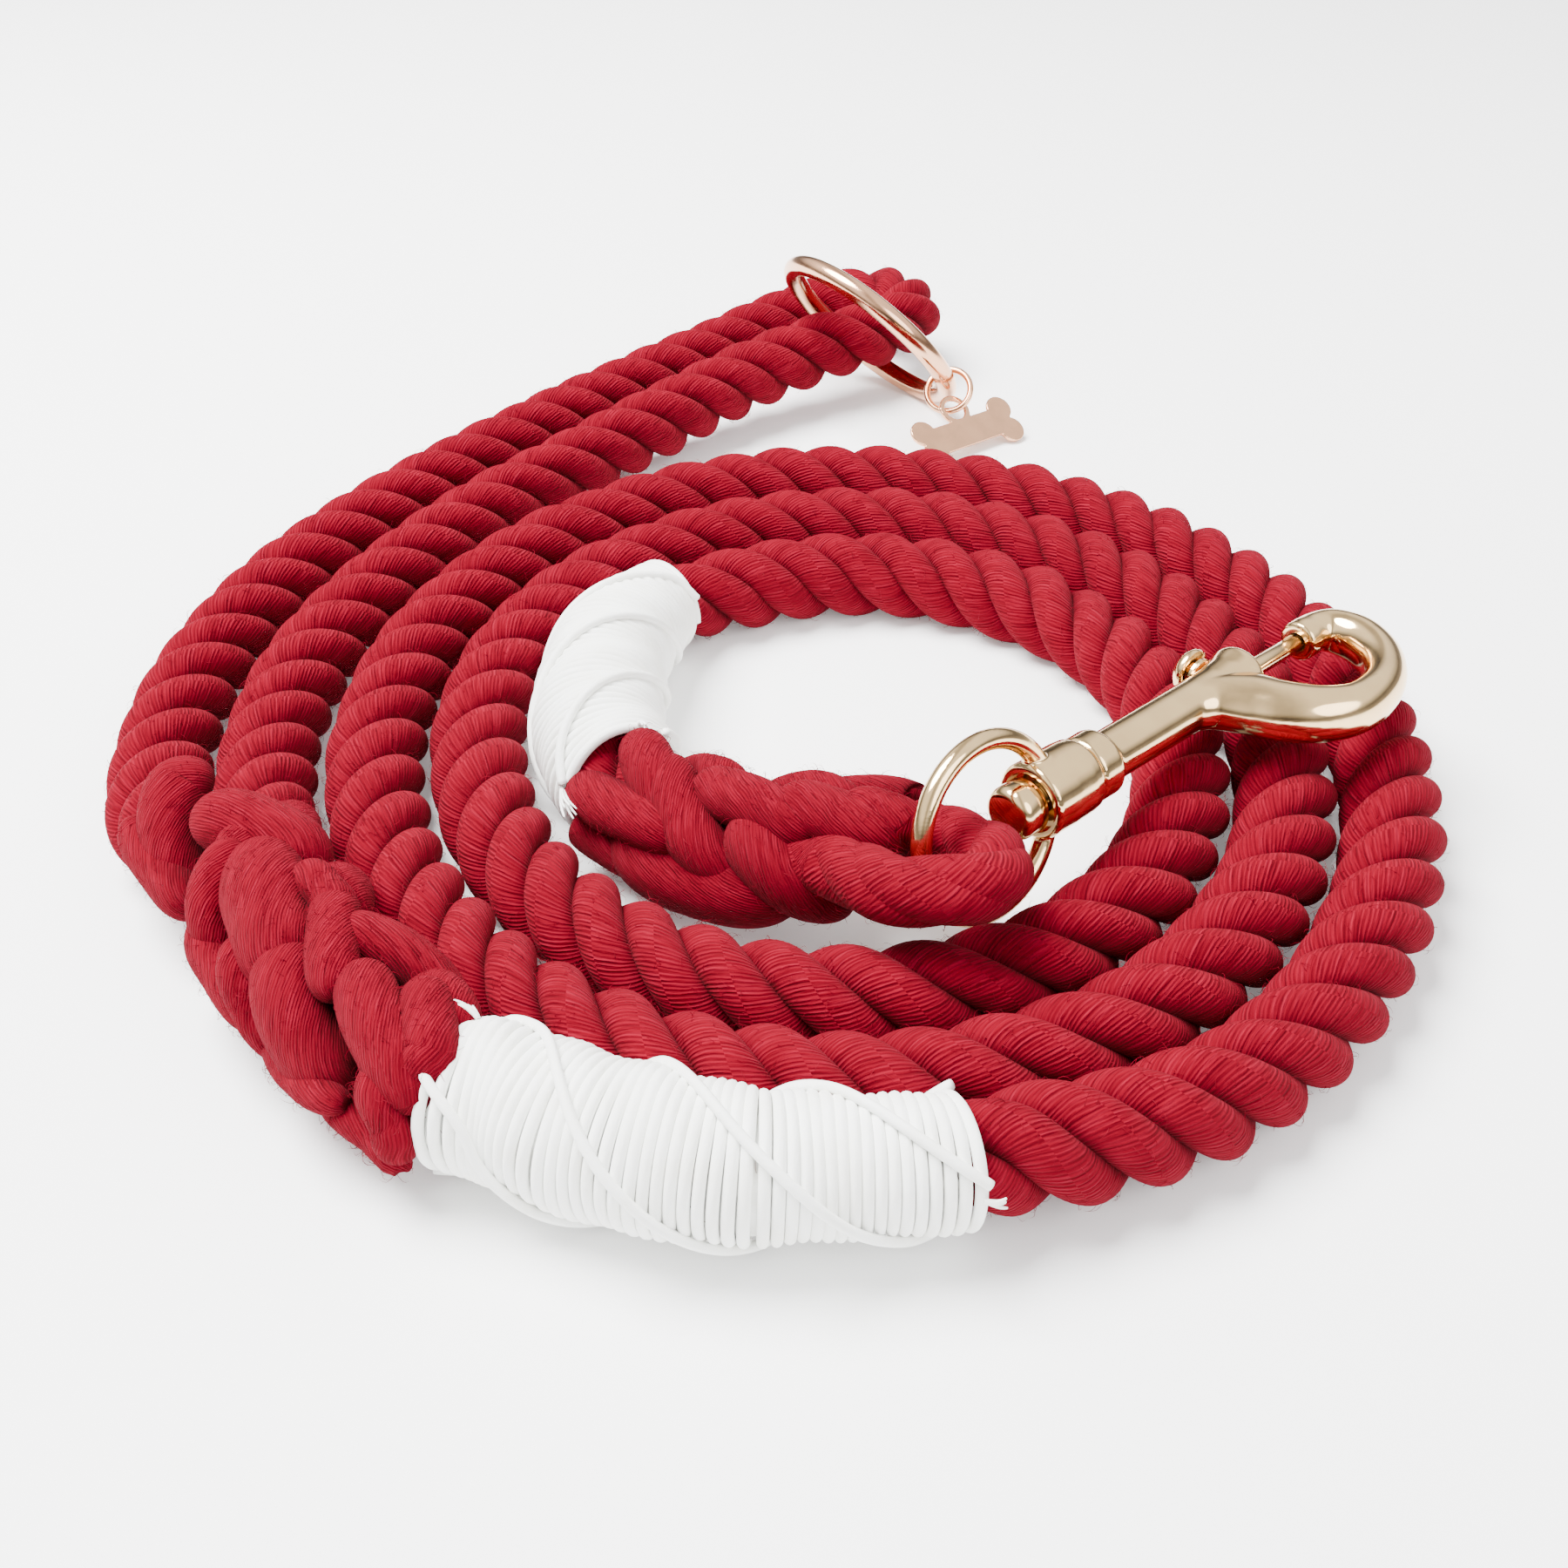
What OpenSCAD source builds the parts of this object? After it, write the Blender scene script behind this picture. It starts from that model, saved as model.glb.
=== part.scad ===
// Twisted cotton rope training leash, stored as a loose flat coil, with a sprung swivel bolt snap.
// Millimetres. X to the right, Y away from the front, Z up, floor at z = 0.

/* [Rope] */
// diameter of the three-strand rope
rope_d = 13; // [12.5:0.25:13]
// diameter of the rope where it is squeezed inside the clip's eye
eye_rope_d = 8.3; // [8:0.1:8.4]
// thickness of the twine whipping
whip_t = 1.2; // [1:0.05:1.2]
// diameter of the loose twine laid across a whipping
riser_d = 0.65; // [0.6:0.05:0.7]
// diameter of one tucked strand of the handle splice
handle_tuck_d = 4.2; // [4:0.1:4.3]
// diameter of one tucked strand of the clip splice
clip_tuck_d = 4.2; // [4:0.1:4.3]

/* [Coil] */
// centre of the coil in X
coil_x = 9.5; // [9:0.25:10]
// centre of the coil in Y
coil_y = 13.5; // [13:0.25:14]
// radius of the coil where it leaves the handle whipping
coil_r = 75.6; // [75.4:0.1:75.8]
// how much narrower the coil gets in one turn, on its right
right_pitch = 14; // [13.9:0.1:14.1]
// the same, on its left
left_pitch = 13.7; // [13.6:0.1:13.8]
// the same, at its back
back_pitch = 16; // [15.8:0.1:16.2]
// the same, at its front
front_pitch = 13.7; // [13.6:0.1:13.8]
// reach of the coil towards the back where it starts
back_r = 83.5; // [83.3:0.1:83.7]
// the same, towards the front
front_r = 82.6; // [82.5:0.1:82.8]

/* [Snap] */
// centre of the pin head above the floor
snap_z = 19.3; // [19.2:0.1:19.5]
// direction the snap points, from X towards Y
snap_turn = 42; // [41.5:0.5:42.5]
// radius of the barrel that holds the spring
barrel_r = 3.3; // [3.2:0.05:3.5]
// radius of the sliding bolt
bolt_r = 1.3; // [1.2:0.05:1.4]
// how far the thumb stud pulls the bolt back
bolt_travel = 9; // [8:0.5:9.5]
// radius of the swivel ring to the middle of its wire
eye_r = 10.7; // [10.5:0.1:10.8]
// radius of the swivel ring's wire
eye_wire_r = 1.3; // [1.2:0.05:1.3]
// radial play of the running fits
play = 0.06; // [0.04:0.01:0.08]

/* [Ring and tag] */
// radius of the accessory ring to the middle of its wire
ring_r = 18.5; // [18.3:0.1:18.6]
// radius of the accessory ring's wire
ring_wire_r = 1.9; // [1.8:0.05:1.95]
// radius of the jump ring to the middle of its wire
jump_r = 4.15; // [4.1:0.05:4.25]
// radius of the jump ring's wire
jump_wire_r = 0.6; // [0.5:0.05:0.65]
// thickness of the tag
tag_t = 0.7; // [0.6:0.1:0.8]
// length of the tag
tag_l = 24; // [22:0.5:25]

/* [Hidden] */
$fn = 48;
EPS = 0.01;

// the routes are drawn about the coil; the whole part is then set with its middle at the origin
middle = [-1.6, 47, 0];
module centred() {
    translate(-middle) children();
}

// ---- the route of the rope, each point [x, y, z, radius] ----
rope_r = rope_d / 2;
eye_rope_r = eye_rope_d / 2;
core_r = 5.2;                   // standing rope inside a splice, opened by the tucks
start_turn = -42;
end_turn = 845;
turn_step = 12;
dent_turn = -30;                // the coil's outer turns are pressed in a little on this side
dents = [0.016, 0.01];          // by this share, in the first turn and in the second

// the handle loop, out along one leg and back along the other
handle_route = [
    [-77, -16.5, 8.8, 4.8], [-80, -9, 7.5, rope_r], [-83.5, 3, rope_r, rope_r],
    [-85, 18, rope_r, rope_r], [-84, 32, rope_r, rope_r], [-80, 50, rope_r, rope_r],
    [-71, 71, rope_r, rope_r], [-58, 92, rope_r, rope_r], [-42, 114, rope_r, rope_r],
    [-27, 132, rope_r, rope_r], [-13, 147, 7, rope_r], [-1, 159, 8, rope_r],
    [10, 166, 9.5, rope_r], [19.5, 165.5, 10.8, rope_r], [25, 158, 11.6, rope_r],
    [23.5, 149, 12.2, rope_r], [16, 142, 12.2, rope_r], [6, 136, 11.8, rope_r],
    [-8, 126, 10, rope_r], [-24, 110, 8, rope_r], [-38, 94, rope_r, rope_r],
    [-51, 76, rope_r, rope_r], [-62, 55, rope_r, rope_r], [-69, 33, rope_r, rope_r],
    [-70.5, 14, rope_r, rope_r], [-68, -3, 7.5, rope_r], [-63, -18, 10.5, core_r],
];
// through the handle splice and its whipping, then down to the coil
handle_splice_route = [[-57.5, -33.5, 11.3, core_r], [-50, -44, 11.3, core_r], [-42, -53, 11, core_r]];
handle_whip_route = [
    [-34.5, -59, 10.4, 6.7], [-28, -61, 10.3, 6.9], [-21.5, -64.2, 10.2, 7], [-14, -67, 10.3, 7],
    [-4.5, -69, 10.2, 6.5], [5.5, -69, 10, 5.8], [13.5, -68.7, 10, 5.6], [18.5, -67.9, 9.8, 5.7],
];
lead_route = [
    [23, -66.3, 9.5, rope_r], [31, -64.2, 8.6, rope_r], [42.5, -59, 7.4, rope_r],
    [54, -50.3, rope_r, rope_r],
];
// from the coil through the clip whipping and the clip splice to the eye, and back
clip_whip_route = [
    [-18, 44.8, 7.8, 5.7], [-21.5, 38.8, 8.8, 6.2], [-24.3, 30.2, 9.6, 7], [-25.5, 20.6, 10, 7.4],
    [-25.3, 11.4, 10.2, 7.4], [-24, 3, 10.2, 7.4], [-20.8, -4.7, 10.2, 7],
];
clip_splice_route = [[-15, -12, 10.8, core_r], [-8, -17, 11.5, core_r], [0, -22.5, 13, 5]];
eye_route = [
    [6.5, -29.5, 16.5, eye_rope_r], [11.5, -37, 19.5, eye_rope_r], [18, -39.5, 21, eye_rope_r],
    [23, -37.2, 20.6, eye_rope_r], [24, -32, 19.4, eye_rope_r], [21.9, -26.9, 17.2, eye_rope_r],
    [19, -22.2, 15.2, eye_rope_r], [16, -17.5, 13, eye_rope_r], [12.5, -13.5, 12.5, 3.8],
];

// one point of the coil: a spiral that closes by its pitch in each turn, with its own pitch on each side
function coil_at(t) = let (
        turns = (t + 90) / 360,
        dent = (turns < 0.5 ? dents[0] : turns < 1.5 ? dents[1] : 0) * pow(max(0, cos(t - dent_turn)), 4),
        reach_x = coil_r - (cos(t) > 0 ? right_pitch : left_pitch) * turns,
        reach_y = sin(t) > 0 ? back_r - back_pitch * turns : front_r - front_pitch * turns)
    [coil_x + (1 - dent) * reach_x * cos(t), coil_y + (1 - dent) * reach_y * sin(t), rope_r, rope_r];
coil_route = [for (t = [start_turn : turn_step : end_turn]) coil_at(t)];

// ---- curves and sweeps ----
function spline(p0, p1, p2, p3, t) = 0.5 * (2 * p1 + (p2 - p0) * t
    + (2 * p0 - 5 * p1 + 4 * p2 - p3) * t * t + (3 * p1 - p0 - 3 * p2 + p3) * t * t * t);
function held(route, i) = route[max(0, min(len(route) - 1, i))];
function smooth(route, steps) = concat(
    [for (i = [0 : len(route) - 2], k = [0 : steps - 1])
        spline(held(route, i - 1), route[i], route[i + 1], held(route, i + 2), k / steps)],
    [route[len(route) - 1]]);
function place(p) = [p[0], p[1], p[2]];
function unit(v) = v / norm(v);
function along(route, i) = unit(place(held(route, i + 1)) - place(held(route, i - 1)));
function side_of(t) = unit(cross([0, 0, 1], t));
// one ring of points about the route, at the route's own radius plus grow
function ring_at(route, i, sides, grow = 0) = let (t = along(route, i), s = side_of(t), u = cross(t, s))
    [for (k = [0 : sides - 1]) let (a = 360 * k / sides)
        place(route[i]) + (route[i][3] + grow) * (cos(a) * s + sin(a) * u)];
function quads(a, b, sides) = [for (k = [0 : sides - 1])
    [a + k, a + (k + 1) % sides, b + (k + 1) % sides, b + k]];

// a closed tube swept along a route
module tube(route, sides = 10) {
    n = len(route);
    polyhedron(
        points = [for (i = [0 : n - 1]) each ring_at(route, i, sides)],
        faces = concat(
            [[for (k = [0 : sides - 1]) k]],
            [for (i = [0 : n - 2]) each quads((i + 1) * sides, i * sides, sides)],
            [[for (k = [sides - 1 : -1 : 0]) (n - 1) * sides + k]]));
}

// a closed sleeve of a given wall, clear of the route's own tube
module sleeve(route, wall, gap = 0.3, sides = 16) {
    n = len(route);
    m = n * sides;
    polyhedron(
        points = concat(
            [for (i = [0 : n - 1]) each ring_at(route, i, sides, gap + wall)],
            [for (i = [0 : n - 1]) each ring_at(route, i, sides, gap)]),
        faces = concat(
            [for (i = [0 : n - 2]) each quads((i + 1) * sides, i * sides, sides)],
            [for (i = [0 : n - 2]) each quads(m + i * sides, m + (i + 1) * sides, sides)],
            quads(0, m, sides),
            quads(m + (n - 1) * sides, (n - 1) * sides, sides)));
}

// a strand wound round a route: its own route, over being its height above the route's tube
function wound(route, over, r, turns, phase) = [for (i = [0 : len(route) - 1])
    let (t = along(route, i), s = side_of(t), u = cross(t, s), a = phase + 360 * turns * i / (len(route) - 1))
        concat(place(route[i]) + (route[i][3] + over + r) * (cos(a) * s + sin(a) * u), [r])];

whip_steps = 4;
handle_whip_line = smooth(handle_whip_route, whip_steps);
clip_whip_line = smooth(clip_whip_route, whip_steps);
tuck_steps = 7;
handle_tuck_line = smooth(concat([[-62, -24.5, 11.3, core_r]], handle_splice_route,
                                 [[-38.5, -56, 10.9, core_r]]), tuck_steps);
clip_tuck_line = smooth([[-17.6, -9.2, 10.7, core_r], clip_splice_route[0], clip_splice_route[1],
                         [-2.5, -20.8, 12.6, core_r]], tuck_steps);
// the whole rope, at the same points as its sleeves where it has one
rope_line = concat(
    smooth(concat(handle_route, handle_splice_route), 2),
    handle_whip_line,
    smooth(concat(lead_route, coil_route), 1),
    clip_whip_line,
    smooth(concat(clip_splice_route, eye_route), 3));

module leash_rope() {
    color("crimson") centred() tube(rope_line, 10);
}

// the three strand ends laid round the standing rope in a splice
module tucked(line, d, over, turns, phase) {
    for (k = [0 : 2]) {
        tube(wound(line, over, d / 2, turns, phase + 120 * k), 7);
    }
}

module handle_tucks() {
    color("firebrick") centred() tucked(handle_tuck_line, handle_tuck_d, 0.6, 0.7, 90);
}

module clip_tucks() {
    color("firebrick") centred() tucked(clip_tuck_line, clip_tuck_d, 0.9, 0.6, 70);
}

module handle_whipping() {
    color("ivory") centred() sleeve(handle_whip_line, whip_t);
}

module clip_whipping() {
    color("ivory") centred() sleeve(clip_whip_line, whip_t);
}

// three long strands of twine across a whipping
module risers(line, turns) {
    across = [for (i = [whip_steps : len(line) - 1]) line[i]];
    for (k = [0 : 2]) {
        tube(wound(across, whip_t + 0.38, riser_d / 2, turns, 50 + 120 * k), 6);
    }
}

module handle_risers() {
    color("white") centred() risers(handle_whip_line, 0.95);
}

module clip_risers() {
    color("white") centred() risers(clip_whip_line, 0.9);
}

// ---- the swivel bolt snap, in its own frame: X along its axis, Y across the hook ----
snap_at = [27.3, -22.6, snap_z];
pin_head_r = 3.5;
pin_head_x = [-1.8, 2.2];
pin_r = 2.1;
pin_end_x = 17;
eye_x = -5;                     // centre of the swivel ring
eye_tilt = 75;                  // lean of the swivel ring's plane
sleeve_r = 5;
axial_gap = 0.2;
rim_r = 4.4;
rim_x = [11.3, 15.5];
chamber_end_x = 42.1;
shoulder_x = 44;
throat_r = 8.5;
throat_at = [52.2, -3.2];
hook_r = 12.4;
hook_ats = [[49.5, -5.1], [54.2, -4.6]];
hook_t = 7.4;
tip_x = 56.8;
tip_r = 2.7;
bolt_tip_x = 58.5;
stud_x = 40.2;
collar_x = [38.4, 42];
stud_stem_r = 1;
stud_head_r = 3;
stud_head_y = 4.7;
spring_wire_r = 0.25;
spring_r = pin_r - spring_wire_r - 0.1;

module snap_frame() {
    translate(snap_at) rotate([0, 0, snap_turn]) children();
}

// a round bar along the snap's axis
module bar(x, r) {
    translate([x[0], 0, 0]) rotate([0, 90, 0]) cylinder(r = r, h = x[1] - x[0]);
}

module torus(r, wire) {
    rotate_extrude($fn = 72) translate([r, 0]) circle(r = wire, $fn = 24);
}

module swivel_eye() {
    color("lightpink") centred() snap_frame() difference() {
        union() {
            bar([pin_head_x[1] + axial_gap, rim_x[0] - axial_gap], sleeve_r);
            translate([eye_x, 0, 0]) rotate([eye_tilt, 0, 0]) torus(eye_r, eye_wire_r);
        }
        bar([pin_head_x[1], rim_x[0]], pin_r + play);
    }
}

module swivel_pin() {
    color("mistyrose") centred() snap_frame() {
        bar(pin_head_x, pin_head_r);
        bar([pin_head_x[1] - EPS, pin_end_x], pin_r);
    }
}

// flat outline of the hook and the body behind it, drawn inset from its edge
module hook_outline(inset) {
    intersection() {
        hull() {
            for (at = hook_ats) {
                translate(at) circle(r = hook_r - inset, $fn = 96);
            }
        }
        translate([shoulder_x - 8, -hook_r - 8]) square([40, hook_r + 8 + tip_r - inset]);
    }
    polygon([[30, barrel_r - inset], [shoulder_x - 1, 4.6 - inset], [shoulder_x, 3.5 - inset],
             [shoulder_x, -12], [41.5, -14 + inset], [37.2, -10.4 + inset], [33, -6 + inset],
             [28, inset - barrel_r]]);
}

module snap_solid() {
    difference() {
        union() {
            translate([0, 0, -hook_t / 2]) linear_extrude(hook_t) hook_outline(1.1);
            translate([0, 0, -hook_t / 2 + 1.1]) linear_extrude(hook_t - 2.2) hook_outline(0);
        }
        translate(concat(throat_at, -hook_t)) cylinder(r = throat_r, h = 2 * hook_t, $fn = 96);
        translate([shoulder_x, throat_at[1], -hook_t]) cube([tip_x - shoulder_x, 12, 2 * hook_t]);
    }
    bar([rim_x[0] + 1, 40], barrel_r);
    bar([40, shoulder_x], barrel_r);
    bar(rim_x, rim_r);
    bar([tip_x, 62.5], tip_r);
}

module snap_body() {
    color("lightpink") centred() snap_frame() difference() {
        snap_solid();
        bar([rim_x[0] - 1, chamber_end_x + EPS], pin_r);
        bar([chamber_end_x, shoulder_x + 1], bolt_r + play);
        bar([tip_x - 1, bolt_tip_x + 0.3], bolt_r + play);
        slot_w = 2 * (stud_stem_r + play);
        translate([stud_x - bolt_travel - stud_stem_r - play, 1, -slot_w / 2])
            cube([bolt_travel + slot_w, 6, slot_w]);
    }
}

module bolt() {
    color("mistyrose") centred() snap_frame() difference() {
        union() {
            bar(collar_x, pin_r - play);
            bar([collar_x[1] - EPS, bolt_tip_x], bolt_r);
        }
        translate([stud_x, -0.5, 0]) rotate([-90, 0, 0]) cylinder(r = stud_stem_r, h = 6);
    }
}

module thumb_stud() {
    color("lightpink") centred() snap_frame() translate([stud_x, 0, 0]) rotate([-90, 0, 0]) {
        translate([0, 0, -0.5]) cylinder(r = stud_stem_r, h = stud_head_y + 1);
        translate([0, 0, stud_head_y]) cylinder(r1 = stud_head_r, r2 = stud_head_r - 0.4, h = 1);
        translate([0, 0, stud_head_y + 1]) cylinder(r1 = stud_head_r - 0.4, r2 = 1.2, h = 1.2);
    }
}

module bolt_spring() {
    turns = 9;
    x0 = pin_end_x + spring_wire_r + 0.05;
    x1 = collar_x[0] - spring_wire_r - 0.05;
    steps = 14;
    line = [for (i = [0 : turns * steps]) let (a = 360 * i / steps)
        [x0 + (x1 - x0) * i / (turns * steps), spring_r * cos(a), spring_r * sin(a), spring_wire_r]];
    color("silver") centred() snap_frame() tube(line, 6);
}

// ---- the accessory ring, the jump ring and the tag ----
ring_at_rest = [16.5, 134.5, 16.15];
ring_normal = [37, 40];         // azimuth and elevation of its plane's normal
jump_at_rest = [31.1, 123.1, 9];
jump_normal = [69.5, -44.4];
tag_at = [32.1, 120.1, 6.3];    // the tag's hole
tag_tilt = 35;
tag_turn = 37;
tag_hole_r = 2.1;

module faced(at, normal) {
    translate(at) rotate([0, 90 - normal[1], normal[0]]) children();
}

module accessory_ring() {
    color("lightpink") centred() faced(ring_at_rest, ring_normal) torus(ring_r, ring_wire_r);
}

module jump_ring() {
    color("lightpink") centred() faced(jump_at_rest, jump_normal) torus(jump_r, jump_wire_r);
}

module tag_outline() {
    lobe_r = 2.6;
    lobe_x = tag_l / 2 - lobe_r;
    lobe_y = 2.4;
    bar_y = -5;
    difference() {
        union() {
            circle(r = tag_hole_r + 1);
            translate([-lobe_x, bar_y - 2.8]) square([2 * lobe_x, 5.6]);
            for (x = [-lobe_x, lobe_x], y = [-lobe_y, lobe_y]) {
                translate([x, bar_y + y]) circle(r = lobe_r);
            }
        }
        circle(r = tag_hole_r);
    }
}

module tag() {
    color("lightpink") centred() translate(tag_at) rotate([tag_tilt, 0, tag_turn])
        translate([0, 0, -tag_t / 2]) linear_extrude(tag_t) tag_outline();
}

leash_rope();
handle_tucks();
handle_whipping();
handle_risers();
clip_tucks();
clip_whipping();
clip_risers();
swivel_eye();
swivel_pin();
snap_body();
bolt();
thumb_stud();
bolt_spring();
accessory_ring();
jump_ring();
tag();
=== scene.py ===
"""Training leash: twisted cotton rope in a loose flat coil, twine whippings and a sprung swivel bolt snap.

Lengths are worked out in millimetres and written to Blender in metres.
"""
import math

import bmesh
import bpy
import numpy as np
from mathutils import Matrix, Vector


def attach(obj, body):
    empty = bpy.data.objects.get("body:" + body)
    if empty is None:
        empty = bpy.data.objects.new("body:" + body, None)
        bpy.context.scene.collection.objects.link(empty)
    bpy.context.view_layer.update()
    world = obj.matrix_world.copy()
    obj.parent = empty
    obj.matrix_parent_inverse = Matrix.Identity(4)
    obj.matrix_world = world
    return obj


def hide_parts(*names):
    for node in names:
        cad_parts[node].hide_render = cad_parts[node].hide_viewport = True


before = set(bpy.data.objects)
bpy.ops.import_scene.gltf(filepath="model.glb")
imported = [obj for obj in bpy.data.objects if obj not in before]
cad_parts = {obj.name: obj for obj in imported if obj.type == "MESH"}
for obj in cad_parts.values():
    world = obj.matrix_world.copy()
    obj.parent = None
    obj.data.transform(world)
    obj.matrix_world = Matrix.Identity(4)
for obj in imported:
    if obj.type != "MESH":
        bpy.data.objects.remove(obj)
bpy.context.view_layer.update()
MM = 0.001
rng = np.random.default_rng(7)

# ---- the rope's route, as in the CAD source: [x, y, z, radius], about the coil ----
MIDDLE = np.array([-1.6, 47.0, 0.0])
ROPE_R = 6.5
CORE_R = 5.2
EYE_R = 4.15
COIL_CENTRE = (9.5, 13.5)
COIL_R = 75.6
BACK_R = 83.5
FRONT_R = 82.6
RIGHT_PITCH = 14
LEFT_PITCH = 13.7
BACK_PITCH = 16
FRONT_PITCH = 13.7
COIL_TURN = (-42, 845, 12)
DENT_TURN = -30
DENTS = (0.016, 0.01)

HANDLE_ROUTE = [
    (-77, -16.5, 8.8, 4.8), (-80, -9, 7.5, ROPE_R), (-83.5, 3, ROPE_R, ROPE_R),
    (-85, 18, ROPE_R, ROPE_R), (-84, 32, ROPE_R, ROPE_R), (-80, 50, ROPE_R, ROPE_R),
    (-71, 71, ROPE_R, ROPE_R), (-58, 92, ROPE_R, ROPE_R), (-42, 114, ROPE_R, ROPE_R),
    (-27, 132, ROPE_R, ROPE_R), (-13, 147, 7, ROPE_R), (-1, 159, 8, ROPE_R), (10, 166, 9.5, ROPE_R),
    (19.5, 165.5, 10.8, ROPE_R), (25, 158, 11.6, ROPE_R), (23.5, 149, 12.2, ROPE_R),
    (16, 142, 12.2, ROPE_R), (6, 136, 11.8, ROPE_R), (-8, 126, 10, ROPE_R), (-24, 110, 8, ROPE_R),
    (-38, 94, ROPE_R, ROPE_R), (-51, 76, ROPE_R, ROPE_R), (-62, 55, ROPE_R, ROPE_R),
    (-69, 33, ROPE_R, ROPE_R), (-70.5, 14, ROPE_R, ROPE_R), (-68, -3, 7.5, ROPE_R),
    (-63, -18, 10.5, CORE_R),
]
HANDLE_SPLICE_ROUTE = [(-57.5, -33.5, 11.3, CORE_R), (-50, -44, 11.3, CORE_R), (-42, -53, 11, CORE_R)]
HANDLE_WHIP_ROUTE = [
    (-34.5, -59, 10.4, 6.7), (-28, -61, 10.3, 6.9), (-21.5, -64.2, 10.2, 7), (-14, -67, 10.3, 7),
    (-4.5, -69, 10.2, 6.5), (5.5, -69, 10, 5.8), (13.5, -68.7, 10, 5.6), (18.5, -67.9, 9.8, 5.7),
]
LEAD_ROUTE = [
    (23, -66.3, 9.5, ROPE_R), (31, -64.2, 8.6, ROPE_R), (42.5, -59, 7.4, ROPE_R),
    (54, -50.3, ROPE_R, ROPE_R),
]
CLIP_WHIP_ROUTE = [
    (-18, 44.8, 7.8, 5.7), (-21.5, 38.8, 8.8, 6.2), (-24.3, 30.2, 9.6, 7), (-25.5, 20.6, 10, 7.4),
    (-25.3, 11.4, 10.2, 7.4), (-24, 3, 10.2, 7.4), (-20.8, -4.7, 10.2, 7),
]
CLIP_SPLICE_ROUTE = [(-15, -12, 10.8, CORE_R), (-8, -17, 11.5, CORE_R), (0, -22.5, 13, 5)]
EYE_ROUTE = [
    (6.5, -29.5, 16.5, EYE_R), (11.5, -37, 19.5, EYE_R), (18, -39.5, 21, EYE_R),
    (23, -37.2, 20.6, EYE_R), (24, -32, 19.4, EYE_R), (21.9, -26.9, 17.2, EYE_R),
    (19, -22.2, 15.2, EYE_R), (16, -17.5, 13, EYE_R), (12.5, -13.5, 12.5, 3.8),
]

# The strand ends tucked round each splice. Each row is where it lies along the splice
# line, where around it (0 at the far side, 90 on top), its slant from the line, its length, its radius
# and how far out it lies, in millimetres and degrees.
HANDLE_TUCK_LINE = [
    (-72, -12, 10), (-64, -23, 11), (-57.5, -33.5, 11.3), (-50, -44, 11.3), (-42, -53, 11),
    (-34.5, -59, 10.4),
]
HANDLE_TUCKS = [
    (4, 160, 50, 22, 4, 6.5), (5, 180, 15, 20, 3, 9), (16, 75, -35, 17, 4, 6.5), (22, 155, 60, 15, 3, 7.5),
    (29, 115, 15, 20, 5, 5.5), (32, 65, -5, 9, 2.5, 8), (40, 85, 30, 16, 3, 7.5), (46, 40, -30, 17, 3, 8),
    (29, 190, 5, 18, 2.5, 9), (36, 180, 45, 14, 2.5, 8.5), (44, 170, 30, 18, 4.5, 6),
    (54, 115, 25, 18, 3.5, 7), (58, 90, 40, 14, 3, 7.5), (60, 170, 45, 12, 2.5, 8),
    (46, 195, -15, 16, 2, 9), (57, 200, 5, 14, 2, 8.5),
    # the sides that face away
    (18, 110, 40, 16, 3, 6), (12, 20, 30, 16, 3.5, 6.5), (26, 10, 30, 18, 4, 6.5), (38, 0, 30, 18, 4, 6.5),
    (52, 30, 30, 18, 3.5, 6.5), (14, 235, 30, 18, 3, 7), (30, 240, 30, 18, 3, 7), (48, 240, 30, 18, 3, 7),
    (22, 300, 30, 18, 3.5, 7), (42, 300, 30, 18, 3.5, 7),
    (5, 215, 10, 24, 4.5, 6), (6, 265, 15, 22, 4.5, 5.5), (8, 320, 10, 20, 4, 5.5),
]
CLIP_TUCK_LINE = [
    (-20.8, -4.7, 10.2), (-15, -11, 11), (-8, -16.5, 11.5), (0, -20.5, 12.5), (8, -23, 14), (15, -24, 15),
]
CLIP_TUCKS = [
    (8, 160, -5, 20, 3.5, 6.5), (16, 140, 40, 20, 3.5, 6), (18, 210, 0, 22, 5, 6.5),
    (29, 180, 45, 16, 4, 6), (24, 105, 15, 18, 3.5, 6.5), (35, 115, 20, 16, 3.5, 6.5),
    (40, 115, 25, 9, 3, 7), (4, 215, 0, 18, 3.5, 7),
    # the sides that face away
    (8, 100, 30, 16, 3.5, 6), (12, 30, 30, 16, 3.5, 6), (28, 40, 30, 18, 3.5, 6),
    (6, 280, 30, 14, 3, 6.5), (26, 300, 30, 18, 3.5, 6), (31, 5, 5, 26, 4, 7.5),
    (34, 330, 10, 20, 3.5, 6.5),
]


def coil_at(degrees):
    """One point of the coil: a spiral that closes by its own pitch on each side."""
    c, s = math.cos(math.radians(degrees)), math.sin(math.radians(degrees))
    turns = (degrees + 90) / 360
    dent = DENTS[0] if turns < 0.5 else DENTS[1] if turns < 1.5 else 0
    dent *= max(0, math.cos(math.radians(degrees - DENT_TURN))) ** 4
    reach_x = COIL_R - (RIGHT_PITCH if c > 0 else LEFT_PITCH) * turns
    reach_y = BACK_R - BACK_PITCH * turns if s > 0 else FRONT_R - FRONT_PITCH * turns
    x, y = (1 - dent) * reach_x * c, (1 - dent) * reach_y * s
    return (COIL_CENTRE[0] + x, COIL_CENTRE[1] + y, ROPE_R, ROPE_R)


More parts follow.
